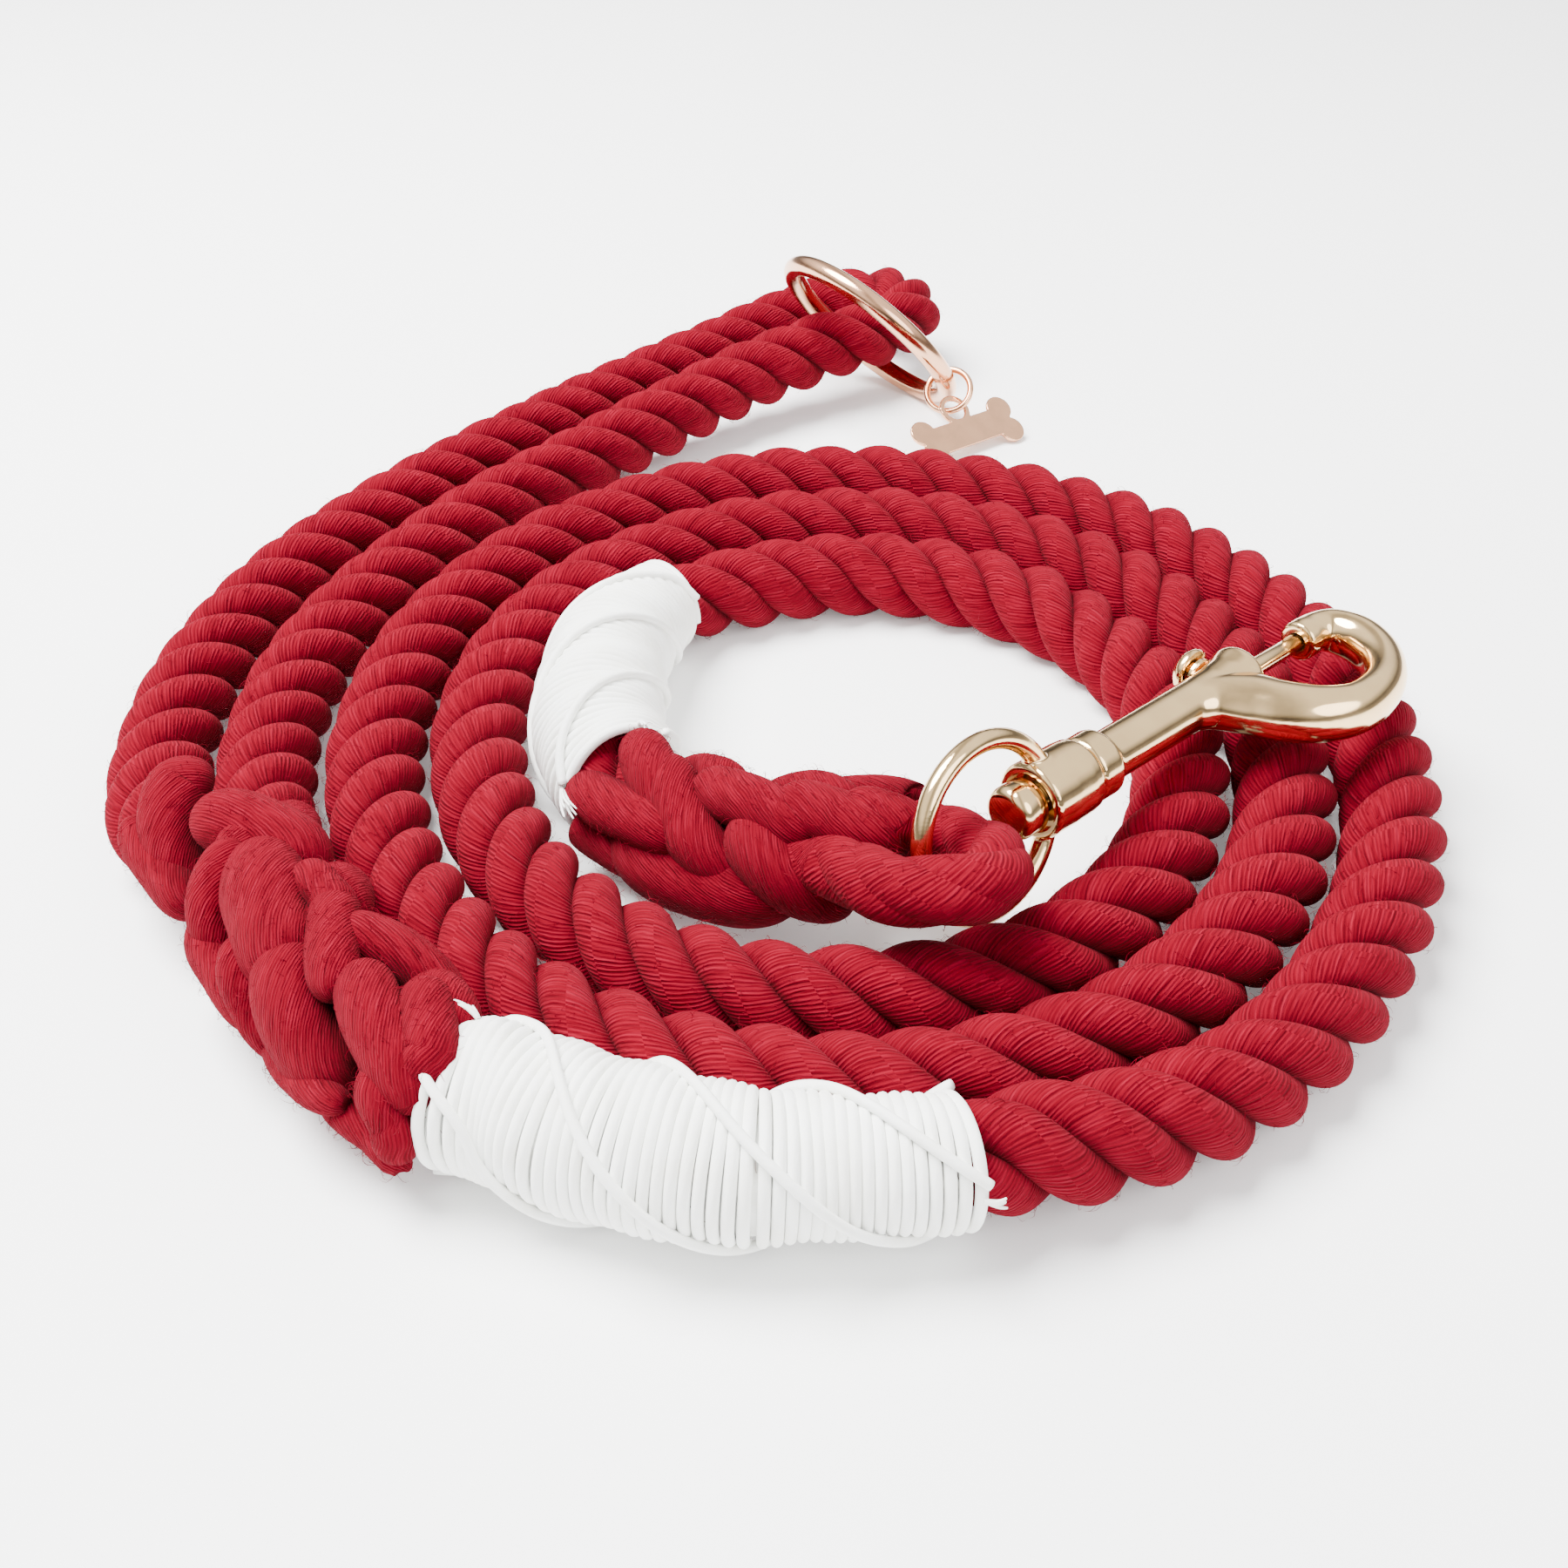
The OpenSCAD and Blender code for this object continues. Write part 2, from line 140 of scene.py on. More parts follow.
# ---- the snap, in its own frame: X along its axis, Y across the hook; and the rings ----
SNAP_AT = np.array([28.9, -69.6, 19.3])
SNAP_TURN = 42
EYE_X = -5
EYE_RING_R = 10.7
EYE_WIRE_R = 1.3
EYE_TILT = 75
STUD_X = 40.2
TRAVEL = 9
BORE_R = 1.4
RING_AT = np.array([16.5, 134.5, 16.15]) - MIDDLE
RING_NORMAL = (37, 40)
RING_R = 18.5
RING_WIRE_R = 1.9
JUMP_AT = np.array([31.1, 123.1, 9]) - MIDDLE
JUMP_NORMAL = (69.5, -44.4)
JUMP_R = 4.15
JUMP_WIRE_R = 0.6


# ---- curves ----
def spline(points, steps=16):
    """A smooth curve through the points, all of whose columns are carried along it."""
    p = np.array(points, float)
    p = np.vstack([2 * p[0] - p[1], p, 2 * p[-1] - p[-2]])
    t = (np.arange(steps) / steps)[:, None]
    parts = []
    for a, b, c, d in zip(p[:-3], p[1:-2], p[2:-1], p[3:]):
        parts.append(0.5 * (2 * b + (c - a) * t + (2 * a - 5 * b + 4 * c - d) * t ** 2
                            + (3 * b - a - 3 * c + d) * t ** 3))
    return np.vstack([*parts, p[-2:-1]])


def lengths(p):
    """How far along the line each of its points is."""
    return np.concatenate([[0], np.cumsum(np.linalg.norm(np.diff(p[:, :3], axis=0), axis=1))])


def even(p, step):
    """The same line with its points an even step apart."""
    s = lengths(p)
    at = np.linspace(0, s[-1], max(3, int(s[-1] / step) + 1))
    return np.stack([np.interp(at, s, p[:, k]) for k in range(p.shape[1])], axis=1)


def eased(p, width):
    """The line with its small kinks smoothed away; its ends stay."""
    kernel = np.hanning(2 * width + 3)[1:-1]
    kernel /= kernel.sum()
    padded = np.vstack([2 * p[0] - p[width:0:-1], p, 2 * p[-1] - p[-2:-width - 2:-1]])
    return np.stack([np.convolve(padded[:, k], kernel, "valid") for k in range(p.shape[1])], axis=1)


def frames(p, up=(0, 0, 1)):
    """Unit tangent, side and up at each point, turning as little as possible."""
    t = np.gradient(p[:, :3], axis=0)
    t /= np.linalg.norm(t, axis=1)[:, None]
    side = np.empty_like(t)
    first = np.cross(up, t[0])
    side[0] = first / np.linalg.norm(first)
    for i in range(1, len(t)):
        s = side[i - 1] - t[i] * np.dot(side[i - 1], t[i])
        side[i] = s / np.linalg.norm(s)
    return t, side, np.cross(t, side)


# ---- meshes ----
def mesh_object(name, points, faces, corner_uv=None, depth=None):
    """A smooth-shaded mesh from points in millimetres in the row frame."""
    mesh = bpy.data.meshes.new(name)
    mesh.from_pydata((np.asarray(points, float) * MM).tolist(), [], faces)
    if corner_uv is not None:
        layer = mesh.uv_layers.new(name="yarn")
        layer.data.foreach_set("uv", np.asarray(corner_uv, np.float32).ravel())
    # the depth attribute is the mask that the cotton material uses for its painted shade in the grooves
    if depth is not None:
        attribute = mesh.attributes.new("depth", "FLOAT", "POINT")
        attribute.data.foreach_set("value", np.asarray(depth, np.float32))
    mesh.shade_smooth()
    made = bpy.data.objects.new(name, mesh)
    bpy.context.scene.collection.objects.link(made)
    return made


def skin(rings, uv=None):
    """Faces and corner UVs of tubes: rings is (tubes, n, m, 3), uv is (tubes, n, m + 1, 2)."""
    tubes, n, m, _ = rings.shape
    i, k = np.meshgrid(np.arange(n - 1), np.arange(m), indexing="ij")
    k2 = (k + 1) % m
    one = np.stack([i * m + k, i * m + k2, (i + 1) * m + k2, (i + 1) * m + k], axis=-1).reshape(-1, 4)
    faces, corners = [], []
    for tube in range(tubes):
        faces += (one + tube * n * m).tolist()
        faces.append([tube * n * m + j for j in range(m - 1, -1, -1)])
        faces.append([tube * n * m + (n - 1) * m + j for j in range(m)])
        if uv is not None:
            u = uv[tube]
            four = [u[i, k], u[i, k + 1], u[i + 1, k + 1], u[i + 1, k]]
            corners.append(np.stack(four, axis=2).reshape(-1, 2))
            corners.append(u[0, m - 1::-1][:m])
            corners.append(u[-1, :m])
    return faces, (np.vstack(corners) if corners else None)


def tube_object(name, lines, radii, sides):
    """Round tubes along lines, each line (n, 3) and its radii (n,)."""
    rings, uv = [], []
    angle = np.linspace(0, 2 * math.pi, sides + 1)
    for line, radius in zip(lines, radii):
        _, side, up = frames(line)
        c, s = np.cos(angle[:-1])[None, :, None], np.sin(angle[:-1])[None, :, None]
        radius_here = np.asarray(radius)[:, None, None]
        rings.append(line[:, None, :3] + radius_here * (side[:, None] * c + up[:, None] * s))
        along = lengths(line)[:, None] + 0 * angle[None]
        around = np.mean(radius) * angle[None] + 0 * along
        uv.append(np.stack([around, along], axis=-1))
    parts = [skin(r[None], u[None]) for r, u in zip(rings, uv)]
    faces, corners, start = [], [], 0
    for (f, c), r in zip(parts, rings):
        faces += [[v + start for v in face] for face in f]
        corners.append(c)
        start += r.shape[0] * r.shape[1]
    points = np.vstack([r.reshape(-1, 3) for r in rings])
    return mesh_object(name, points, faces, np.vstack(corners))


# ---- materials ----
YARN_PITCH = 0.36       # millimetres from one yarn of the rope to the next


def nodes_of(name):
    """A new material with its node tree and its principled shader."""
    made = bpy.data.materials.new(name)
    made.use_nodes = True
    tree = made.node_tree
    return made, tree, tree.nodes["Principled BSDF"]


def node(tree, kind, **values):
    """A new node with its inputs and settings filled in."""
    made = tree.nodes.new(kind)
    for key, value in values.items():
        if key in made.inputs:
            made.inputs[key].default_value = value
        else:
            setattr(made, key, value)
    return made


def stretched(tree, source, scale):
    """The source's coordinates scaled along each axis."""
    mapping = node(tree, "ShaderNodeMapping")
    mapping.inputs["Scale"].default_value = scale
    tree.links.new(source, mapping.inputs["Vector"])
    return mapping.outputs["Vector"]


def noise(tree, source, scale, detail=2.0, roughness=0.5):
    """The value of a noise laid over the source's coordinates, scaled along each axis."""
    made = node(tree, "ShaderNodeTexNoise", Scale=1.0, Detail=detail, Roughness=roughness)
    tree.links.new(stretched(tree, source, scale), made.inputs["Vector"])
    return made.outputs["Fac"]


def ramp(tree, source, stops):
    """A colour ramp, its stops given as (place, colour)."""
    made = node(tree, "ShaderNodeValToRGB")
    while len(made.color_ramp.elements) < len(stops):
        made.color_ramp.elements.new(0.5)
    for element, (place, colour) in zip(made.color_ramp.elements, stops):
        element.position = place
        element.color = (*colour, 1)
    tree.links.new(source, made.inputs["Fac"])
    return made.outputs["Color"]


def blended(tree, factor, a, b, kind="MIX"):
    """Two colours mixed; the factor is a number or an output."""
    made = node(tree, "ShaderNodeMix", data_type="RGBA", blend_type=kind)
    for socket, value in ((made.inputs[0], factor), (made.inputs[6], a), (made.inputs[7], b)):
        if isinstance(value, bpy.types.NodeSocket):
            tree.links.new(value, socket)
        else:
            socket.default_value = value
    return made.outputs[2]


def bumped(tree, shader, layers):
    """Bump layers (height output, strength, distance in metres), one on another, on the shader."""
    normal = None
    for height, strength, distance in layers:
        made = node(tree, "ShaderNodeBump", Strength=strength, Distance=distance)
        tree.links.new(height, made.inputs["Height"])
        if normal is not None:
            tree.links.new(normal, made.inputs["Normal"])
        normal = made.outputs["Normal"]
    tree.links.new(normal, shader.inputs["Normal"])


def cotton_material(name, deep, mid, light):
    """Soft cotton: fine yarns along the mesh's yarn coordinates, with painted shade between the yarns and
    painted shade in the grooves between the strands.
    """
    made, tree, shader = nodes_of(name)
    uv = node(tree, "ShaderNodeUVMap", uv_map="yarn").outputs["UV"]
    place = node(tree, "ShaderNodeTexCoord").outputs["Object"]
    plies = node(tree, "ShaderNodeTexWave", Scale=math.pi / 10 / YARN_PITCH, Distortion=3.0, Detail=2.0)
    plies.inputs["Detail Scale"].default_value = 0.8
    tree.links.new(uv, plies.inputs["Vector"])
    yarns = noise(tree, uv, (5.0, 0.30, 1), detail=2.5)
    hairs = noise(tree, uv, (9.0, 0.9, 1), detail=3.0, roughness=0.7)
    patches = noise(tree, place, (120, 120, 120), detail=3.0)
    tone = ramp(tree, yarns, [(0.24, deep), (0.50, mid), (0.80, light)])
    shade = ramp(tree, patches, [(0.3, (0.80, 0.78, 0.80)), (0.7, (1, 1, 1))])
    tone = blended(tree, 0.6, tone, shade, "MULTIPLY")
    # painted shade: the troughs of the yarn bands are darkened, standing in for the shadow between
    # neighbouring yarns
    between = ramp(tree, plies.outputs["Fac"], [(0.0, (0.42, 0.36, 0.38)), (0.55, (1, 1, 1))])
    tone = blended(tree, 0.6, tone, between, "MULTIPLY")
    # painted shade: the colour is darkened where the surface lies deep towards the rope's core, in the
    # grooves between the strands
    groove = node(tree, "ShaderNodeAttribute", attribute_name="depth").outputs["Fac"]
    painted_groove_shade = ramp(tree, groove, [(0.50, (0.10, 0.05, 0.07)), (0.86, (1, 1, 1))])
    tone = blended(tree, 0.85, tone, painted_groove_shade, "MULTIPLY")
    tree.links.new(tone, shader.inputs["Base Color"])
    shader.inputs["Roughness"].default_value = 0.95
    shader.inputs["Specular IOR Level"].default_value = 0.04
    shader.inputs["Sheen Weight"].default_value = 0.05
    shader.inputs["Sheen Roughness"].default_value = 0.5
    shader.inputs["Sheen Tint"].default_value = (1.0, 0.25, 0.3, 1)
    bumped(tree, shader, [(plies.outputs["Fac"], 0.8, 0.00013), (yarns, 0.6, 0.0003), (hairs, 0.6, 0.00015)])
    return made


def twine_material():
    """Waxed off-white twine with a faint ply."""
    made, tree, shader = nodes_of("twine")
    uv = node(tree, "ShaderNodeUVMap", uv_map="yarn").outputs["UV"]
    plies = noise(tree, uv, (3.0, 1.2, 1), detail=2.0)
    place = node(tree, "ShaderNodeTexCoord").outputs["Object"]
    patches = noise(tree, place, (220, 220, 220), detail=2.0)
    tone = ramp(tree, patches, [(0.3, (0.90, 0.90, 0.85)), (0.6, (0.95, 0.96, 0.93))])
    tree.links.new(tone, shader.inputs["Base Color"])
    shader.inputs["Roughness"].default_value = 0.7
    shader.inputs["Sheen Weight"].default_value = 0.1
    bumped(tree, shader, [(plies, 0.35, 0.0002)])
    return made


def metal_material(name, colour, dull):
    """Polished plated metal with faint polishing lines and a slow change of tone."""
    made, tree, shader = nodes_of(name)
    place = node(tree, "ShaderNodeTexCoord").outputs["Object"]
    scuffs = noise(tree, place, (260, 260, 260), detail=4.0)
    waves = noise(tree, place, (140, 140, 140), detail=1.0)
    tone = ramp(tree, scuffs, [(0.35, tuple(0.90 * c for c in colour)), (0.65, colour)])
    tree.links.new(tone, shader.inputs["Base Color"])
    rough = node(tree, "ShaderNodeMapRange")
    rough.inputs["From Min"].default_value = 0.3
    rough.inputs["From Max"].default_value = 0.7
    rough.inputs["To Min"].default_value = dull * 0.7
    rough.inputs["To Max"].default_value = dull * 1.5
    tree.links.new(scuffs, rough.inputs["Value"])
    tree.links.new(rough.outputs["Result"], shader.inputs["Roughness"])
    shader.inputs["Metallic"].default_value = 1.0
    bumped(tree, shader, [(waves, 0.05, 0.0004)])
    return made


RED = cotton_material("red_cotton", (0.08, 0.0002, 0.004), (0.158, 0.0005, 0.009), (0.25, 0.005, 0.022))
TWINE = twine_material()
PALE_GOLD = metal_material("pale_gold", (0.90, 0.62, 0.31), 0.11)
ROSE_GOLD = metal_material("rose_gold", (0.80, 0.44, 0.26), 0.14)


# ---- camera ----
def make_camera():
    """In front of the coil, looking 36 degrees down."""
    data = bpy.data.cameras.new("camera")
    data.sensor_width = 36
    data.lens = 40
    data.clip_start = 0.01
    made = bpy.data.objects.new("camera", data)
    made.location = Vector((1.6, -233.7, 143.05)) * MM
    made.rotation_euler = (math.radians(90 - 36.13), 0, 0)
    bpy.context.scene.collection.objects.link(made)
    bpy.context.scene.camera = made


# ---- the rope ----
LAY = 2.04              # rope length in one turn of its strands, in rope diameters
STRAND_SIDES = 36
RING_STEP = 0.55
STRAND = (0.266, 0.242, 0.232)      # how far out, how high and how wide a strand is, in rope diameters
EYE_STRAND = (0.10, 0.40, 0.39)     # the same in the clip's eye, where they close up
YARN_SLOPE = 2.0        # yarns lie along the rope where its strands are outermost
TUCK_YARN_SLOPE = 0.5   # yarns of a tucked strand nearly follow it


def whole_route():
    """The rope from the end of the hand loop to the end of the clip's eye."""
    route = HANDLE_ROUTE + HANDLE_SPLICE_ROUTE + HANDLE_WHIP_ROUTE + LEAD_ROUTE
    route += [coil_at(degrees) for degrees in range(*COIL_TURN)]
    route += CLIP_WHIP_ROUTE + CLIP_SPLICE_ROUTE + EYE_ROUTE
    line = even(spline(route), RING_STEP)
    line = eased(line, 4)
    line[:, :3] -= MIDDLE
    return line


def wobble(n, knots, size):
    """A smooth random change along n points."""
    return size * np.interp(np.linspace(0, 1, n), np.linspace(0, 1, knots), rng.normal(0, 1, knots))


def yarn_uv(around, along, slope, start=0):
    """Yarn coordinates in millimetres: across the yarns and along the strand."""
    return np.stack([(around - slope * along) / math.hypot(1, slope) + start, along], axis=-1)


def laid_strands(line):
    """Rings, UVs and depths of three strands laid round a line whose last column is the rope's radius."""
    n = len(line)
    s = lengths(line)
    tangent, side, up = frames(line)
    size = 2 * line[:, 3]
    turn = 2 * math.pi * s / (LAY * size).mean() + wobble(n, n // 40 + 2, 0.10)
    angle = np.linspace(0, 2 * math.pi, STRAND_SIDES + 1)
    close = np.clip((4.7 - line[:, 3]) / 0.4, 0, 1) * (s > 0.9 * s[-1])
    offset, high_r, wide_r = [a + (b - a) * close for a, b in zip(STRAND, EYE_STRAND)]
    rings, uvs, depths = [], [], []
    for k in range(3):
        a = turn + 2 * math.pi * k / 3
        out = np.cos(a)[:, None] * side + np.sin(a)[:, None] * up
        centre = line[:, :3] + out * (size * offset * (1 + wobble(n, n // 20 + 2, 0.02)))[:, None]
        run = np.gradient(centre, axis=0)
        run /= np.linalg.norm(run, axis=1)[:, None]
        wide = np.cross(run, out)
        wide /= np.linalg.norm(wide, axis=1)[:, None]
        high = np.cross(wide, run)
        swell = 1 + wobble(n, n // 14 + 2, 0.02)
        r_high = (size * high_r * swell)[:, None, None]
        r_wide = (size * wide_r * swell)[:, None, None]
        c = np.cos(angle)[None, :, None]
        w = np.sin(angle)[None, :, None]
        ring = centre[:, None] + r_high * c * high[:, None] + r_wide * w * wide[:, None]
        along = lengths(centre)[:, None] + 0 * angle[None]
        around = (size * wide_r)[:, None] * angle[None]
        rings.append(ring[:, :-1])
        uvs.append(yarn_uv(around, along, -YARN_SLOPE, 40 * k))
        depths.append(np.linalg.norm(ring[:, :-1] - line[:, None, :3], axis=2) / (0.5 * size)[:, None])
    return np.array(rings), np.array(uvs), np.array(depths)


FIBRE_R = 0.035
ROPE_FIBRES = 26000
TUCK_FIBRES = 130       # on each tucked strand
FIBRE_LENGTH = (0.7, 2.0)
FIBRE_LIFT = (0.2, 0.75)


def fibres(rings, depths, count):
    """Loose fibres standing off the outer faces of the strands, as thin closed tubes."""
    tubes, n, m, _ = rings.shape
    k, i, j = rng.integers(0, tubes, count), rng.integers(2, n - 2, count), rng.integers(0, m, count)
    keep = depths[k, i, j] > 0.8
    k, i, j = k[keep], i[keep], j[keep]
    base = rings[k, i, j]
    out = base - rings[k, i].mean(axis=1)
    out /= np.linalg.norm(out, axis=1)[:, None]
    way = rng.normal(0, 1, base.shape)
    way -= out * (way * out).sum(axis=1)[:, None]
    way /= np.linalg.norm(way, axis=1)[:, None]
    across = np.cross(out, way)
    length, lift = rng.uniform(*FIBRE_LENGTH, len(k)), rng.uniform(*FIBRE_LIFT, len(k))
    u = np.linspace(0, 1, 5)[None, :, None]
    line = base[:, None] + way[:, None] * length[:, None, None] * u
    line = line + out[:, None] * (lift[:, None, None] * np.sin(2.6 * u) - 0.05)
    line = line + across[:, None] * rng.normal(0, 0.3, len(k))[:, None, None] * u ** 2
    a = np.linspace(0, 2 * math.pi, 3, endpoint=False)[None, None, :, None]
    r = FIBRE_R * (1.15 - 0.7 * u[..., None])
    return line[:, :, None] + r * (np.cos(a) * out[:, None, None] + np.sin(a) * across[:, None, None])


def strand_object(name, rings, uvs, depths, count):
    """The strands and their loose fibres as one mesh."""
    faces, corners = skin(rings, uvs)
    hairs = fibres(rings, depths, count)
    hair_uv = np.zeros((*hairs.shape[:2], hairs.shape[2] + 1, 2)) + rng.uniform(0, 50, (len(hairs), 1, 1, 2))
    hair_faces, hair_corners = skin(hairs, hair_uv)
    start = rings.size // 3
    faces += [[start + v for v in face] for face in hair_faces]
    points = np.vstack([rings.reshape(-1, 3), hairs.reshape(-1, 3)])
    points[:, 2] = np.maximum(points[:, 2], 0)      # pressed flat where it lies on the floor
    depth = np.concatenate([depths.ravel(), np.ones(hairs.size // 3)])
    return mesh_object(name, points, faces, np.vstack([corners, hair_corners]), depth)


def make_rope():
    """The whole rope as one piece; returns its line."""
    line = whole_route()
    rope = strand_object("rope", *laid_strands(line), ROPE_FIBRES)
    rope.data.materials.append(RED)
    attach(rope, "rope")
    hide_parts("leash_rope")
    return line


def make_tucks(name, node_name, route, rows):
    """The strand ends that lie round a splice, each a short plump curve that dives in at both ends."""
    core = even(spline([(*p, 0) for p in route]), 0.5)
    core[:, :3] -= MIDDLE
    s = lengths(core)
    _, side, up = frames(core)
    u = np.linspace(-0.97, 0.97, 44)
    angle = np.linspace(0, 2 * math.pi, 29)
    rings, uvs, depths = [], [], []
    for number, (station, around, slant, length, radius, reach) in enumerate(rows):
        slant = math.radians(slant)
        at = station + 0.52 * length * math.cos(slant) * u
        turn = math.radians(around) + 0.52 * length * math.sin(slant) / reach * u
        pick = [np.stack([np.interp(at, s, v[:, k]) for k in range(3)], axis=1) for v in (core, side, up)]
        out = np.cos(turn)[:, None] * pick[1] + np.sin(turn)[:, None] * pick[2]
        centre = pick[0] + out * (reach - 0.45 * radius * np.abs(u) ** 3 + wobble(len(u), 5, 0.12))[:, None]
        run = np.gradient(centre, axis=0)
        run /= np.linalg.norm(run, axis=1)[:, None]
        wide = np.cross(run, out)
        wide /= np.linalg.norm(wide, axis=1)[:, None]
        high = np.cross(wide, run)
        r = (radius * (1 - np.abs(u) ** 6) ** 0.5 * (1 + wobble(len(u), 6, 0.02)))[:, None, None]
        c, w = np.cos(angle)[None, :, None], np.sin(angle)[None, :, None]
        ring = centre[:, None] + r * (c * high[:, None] + w * wide[:, None])
        along = lengths(centre)[:, None] + 0 * angle[None] + 90 * number
        rings.append(ring[:, :-1])
        uvs.append(yarn_uv(radius * angle[None] + 0 * along, along, TUCK_YARN_SLOPE))
        depths.append(np.linalg.norm(ring[:, :-1] - pick[0][:, None], axis=2) / (reach + radius))
    made = strand_object(name, np.array(rings), np.array(uvs), np.array(depths), TUCK_FIBRES * len(rows))
    finish_piece(made, RED, "rope", node_name)


def finish_piece(made, material, body, node_name):
    """Gives a piece its material and lets it stand for its CAD node."""
    made.data.materials.clear()
    made.data.materials.append(material)
    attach(made, body)
    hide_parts(node_name)


# ---- the whippings ----
TWINE_R = 0.66
WHIP_OVER = 0.86
WHIP_TURNS = 44
HANDLE_WHIP_GAPS = ((0.24, 0.006), (0.62, 0.008))   # where along the whipping, and how wide
RISER_R = 0.58
RISER_PITCH = 50        # along the rope in one turn of a riser


def part_of(line, first, last):
    """The stretch of the rope's line between the points nearest to two route points."""
    ends = [np.argmin(np.linalg.norm(line[:, :3] + MIDDLE - np.array(p[:3]), axis=1)) for p in (first, last)]
    return line[ends[0]:ends[1] + 1]


def wound_line(line, over, turns, phase=0.0, per_turn=48, lumpy=0.03, lean=0.0, gaps=()):
    """A thread wound round a stretch of rope, over being the height of its middle above the rope."""
    s = lengths(line)
    _, side, up = frames(line)
    a = phase + np.linspace(0, 2 * math.pi * turns, int(turns * per_turn))
    share = np.linspace(0, 1, len(a))
    for where, width in gaps:
        share = share + width * (0.5 + 0.5 * np.tanh((share - where) * 160)) - width * share
    share = share + lean * np.sin(a - phase) / s[-1] * np.sin(math.pi * np.clip(share, 0, 1)) ** 0.3
    at = np.clip(share, 0, 1) * s[-1]
    pick = [np.stack([np.interp(at, s, v[:, k]) for k in range(3)], axis=1) for v in (line, side, up)]
    lay = LAY * 2 * ROPE_R
    radius = np.interp(at, s, line[:, 3]) * (1 + lumpy * np.cos(3 * a - 2 * math.pi * 3 * at / lay)) + over
    return pick[0] + radius[:, None] * (np.cos(a)[:, None] * pick[1] + np.sin(a)[:, None] * pick[2])


def make_whipping(name, node_name, line, gaps, lean):
    """One thread wound round the rope, over a lining that closes the view between its turns."""
    thread = wound_line(line, WHIP_OVER, WHIP_TURNS, gaps=gaps, lean=lean)
    radius = TWINE_R * (1 + wobble(len(thread), len(thread) // 60, 0.05))
    lining = line[::6]
    made = tube_object(name, [thread, lining], [radius, lining[:, 3] + 0.6 * WHIP_OVER], sides=12)
    finish_piece(made, TWINE, "rope", node_name)


def tail(line, share, around, reach, spread):
    """A frayed end of twine: a few fine strands that fan out from a point on the whipping."""
    s = lengths(line)
    _, side, up = frames(line)
    i = int(np.searchsorted(s, share * s[-1]))
    i = min(max(i, 1), len(line) - 2)
    a = math.radians(around)
    out = math.cos(a) * side[i] + math.sin(a) * up[i]
    across = -math.sin(a) * side[i] + math.cos(a) * up[i]
    forward = (line[i + 1, :3] - line[i - 1, :3]) / np.linalg.norm(line[i + 1, :3] - line[i - 1, :3])
    base = line[i, :3] + out * (line[i, 3] + WHIP_OVER + TWINE_R)
    made = []
    for _ in range(6):
        way = forward * math.copysign(1, reach) + across * rng.normal(0, spread) + out * rng.uniform(0, 0.35)
        way /= np.linalg.norm(way)
        u = np.linspace(0, 1, 12)[:, None]
        made.append(base + way * abs(reach) * u * rng.uniform(0.7, 1) + out * (0.5 * np.sin(2.5 * u)))
    return made


def make_risers(name, node_name, line, phases, tails):
    """The loose diagonal strands over a whipping, with its frayed ends."""
    length = lengths(line)[-1]
    over = WHIP_OVER + TWINE_R + 0.45 * RISER_R
    turns = length / RISER_PITCH
    lines = [wound_line(line, over, turns, math.radians(p), per_turn=160) for p in phases]
    lines = [p + 0.15 * np.stack([wobble(len(p), 9, 1) for _ in range(3)], axis=1) for p in lines]
    radii = [np.full(len(p), RISER_R) for p in lines]
    for ends in tails:
        fan = tail(line, *ends)
        lines += fan
        radii += [np.linspace(0.28, 0.12, len(p)) for p in fan]
    made = tube_object(name, lines, radii, sides=10)
    finish_piece(made, TWINE, "rope", node_name)


# ---- the metal pieces ----
def in_snap(points):
    """Points of the snap's own frame in the row frame."""
    a = math.radians(SNAP_TURN)
    p = np.asarray(points, float)
    x = p[..., 0] * math.cos(a) - p[..., 1] * math.sin(a)
    y = p[..., 0] * math.sin(a) + p[..., 1] * math.cos(a)
    return np.stack([x, y, p[..., 2]], axis=-1) + SNAP_AT


def turned(profile, sides=64, axis="x", at=0.0):
    """The rings of a shape turned about the snap's axis, or about a line across it at a place along it."""
    a = np.linspace(0, 2 * math.pi, sides, endpoint=False)
    p = np.array(profile, float)
    along, r = p[:, 0][:, None] + 0 * a[None], np.maximum(p[:, 1], 0.01)[:, None]
    if axis == "x":
        return np.stack([along, r * np.cos(a), r * np.sin(a)], axis=-1)
    return np.stack([at + r * np.sin(a), along, r * np.cos(a)], axis=-1)


def swept(route, sides=48):
    """The rings of a bar along a route of [x, y, half width, half height] in the snap's plane."""
    line = spline(route, 12)
    t = np.gradient(line[:, :2], axis=0)
    t /= np.linalg.norm(t, axis=1)[:, None]
    a = np.linspace(0, 2 * math.pi, sides, endpoint=False)[None]
    x = line[:, 0][:, None] - t[:, 1][:, None] * line[:, 2][:, None] * np.cos(a)
    y = line[:, 1][:, None] + t[:, 0][:, None] * line[:, 2][:, None] * np.cos(a)
    return np.stack([x, y, line[:, 3][:, None] * np.sin(a)], axis=-1)


def hoop(radius, wire, sides=40, around=160):
    """The closed rings of a torus about Z."""
    a = np.linspace(0, 2 * math.pi, around, endpoint=False)[:, None]
    b = np.linspace(0, 2 * math.pi, sides, endpoint=False)[None]
    r = radius + wire * np.cos(b)
    return np.stack([r * np.cos(a), r * np.sin(a), wire * np.sin(b) + 0 * a], axis=-1)


def shell(name, rings, closed=False):
    """A mesh object from rings of points in the row frame."""
    n, m, _ = rings.shape
    if closed:
        i, k = np.meshgrid(np.arange(n), np.arange(m), indexing="ij")
        i2, k2 = (i + 1) % n, (k + 1) % m
        faces = np.stack([i * m + k, i * m + k2, i2 * m + k2, i2 * m + k], axis=-1).reshape(-1, 4).tolist()
    else:
        faces, _ = skin(rings[None])
    return mesh_object(name, rings.reshape(-1, 3), faces)


